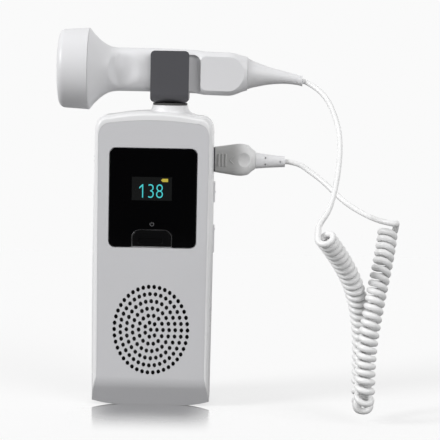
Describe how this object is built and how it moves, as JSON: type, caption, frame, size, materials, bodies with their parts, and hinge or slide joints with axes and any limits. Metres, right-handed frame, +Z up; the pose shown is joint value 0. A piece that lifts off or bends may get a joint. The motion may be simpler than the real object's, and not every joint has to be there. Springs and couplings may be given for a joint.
{
  "type": "fetal doppler monitor",
  "caption": "Pocket fetal doppler monitor with a display window, speaker grille, side keys, and an ultrasound probe on a curly cord in a clip on top.",
  "frame": {"origin": "middle of the flat foot that the case stands on", "axes": "+Z up, the front with the window faces -Y, +X to the right in the front view, towards the plug"},
  "size_m": [0.1535, 0.0823, 0.1713],
  "materials": {
    "white_case": "white satin moulded plastic",
    "grey_panel": "light grey matt plastic",
    "black_gloss": "black glossy plastic",
    "black_plastic": "black matt plastic",
    "dark_grey": "dark grey satin plastic",
    "white_cord": "white flexible PVC",
    "black_rubber": "black rubber",
    "board": "green circuit board",
    "steel": "plated steel",
    "cell": "dark plain sleeve",
    "ceramic": "off-white ceramic, as plastic of like colour"
  },
  "bodies": {
    "case": {"front_shell": "white_case", "rear_shell": "white_case", "front_panel": "grey_panel", "window_lens": "black_gloss", "display_module": "black_gloss", "power_switch": "steel", "main_board": "board", "speaker_frame": "steel", "speaker_cone": "black_rubber", "speaker_magnet": "steel", "battery_1": "cell", "battery_2": "cell", "battery_spring_1": "steel", "battery_spring_2": "steel", "battery_contact_lower": "steel", "battery_contact_upper": "steel", "case_screw_1": "steel", "case_screw_2": "steel", "case_screw_3": "steel", "case_screw_4": "steel", "mode_switch": "dark_grey", "volume_switch_up": "dark_grey", "volume_switch_down": "dark_grey", "headphone_jack": "black_plastic", "probe_socket": "dark_grey", "holder_clip": "dark_grey", "clip_seat_pad": "black_rubber", "clip_screw": "steel", "curly_cord": "white_cord"},
    "power_button": {"power_button": "black_gloss"},
    "mode_key": {"mode_key": "white_case"},
    "volume_rocker": {"volume_rocker": "white_case"},
    "battery_door": {"battery_door": "white_case"},
    "port_cover": {"port_cover": "white_case"},
    "plug": {"plug_shell": "white_cord", "plug_insert": "dark_grey", "plug_boot": "white_cord", "plug_lead": "white_cord"},
    "probe": {"probe_head_cap": "white_case", "probe_handle": "white_case", "transducer_disc_0": "ceramic", "transducer_disc_1": "ceramic", "transducer_disc_2": "ceramic", "transducer_disc_3": "ceramic", "transducer_disc_4": "ceramic", "transducer_disc_5": "ceramic", "transducer_disc_6": "ceramic", "transducer_backing": "black_rubber", "probe_board": "board", "probe_boot": "white_cord", "probe_lead": "white_cord"}
  },
  "joints": [
    {"name": "power_button_press", "type": "slide", "parent": "case", "child": "power_button", "axis": [0, 1, 0], "range_m": [0, 0.0006], "stiffness_N_per_m": 1500},
    {"name": "mode_key_press", "type": "slide", "parent": "case", "child": "mode_key", "axis": [-1, 0, 0], "range_m": [0, 0.0006], "stiffness_N_per_m": 1500},
    {"name": "volume_rocker_tilt", "type": "hinge", "parent": "case", "child": "volume_rocker", "pos_m": [-0.0262, 0, 0.103], "axis": [0, 1, 0], "range_deg": [-3, 3], "stiffness_Nm_per_rad": 0.2},
    {"name": "battery_door_hinge", "type": "hinge", "parent": "case", "child": "battery_door", "pos_m": [0, 0.0148, 0.0123], "axis": [-1, 0, 0], "range_deg": [0, 80]},
    {"name": "port_cover_hinge", "type": "hinge", "parent": "case", "child": "port_cover", "pos_m": [0.02778, 0, 0.06985], "axis": [0, 1, 0], "range_deg": [0, 100]},
    {"name": "plug_pull", "type": "slide", "parent": "case", "child": "plug", "axis": [1, 0, 0], "range_m": [0, 0.01]},
    {"name": "probe_lift", "type": "slide", "parent": "case", "child": "probe", "axis": [0, 0, 1], "range_m": [0, 0.04]}
  ]
}
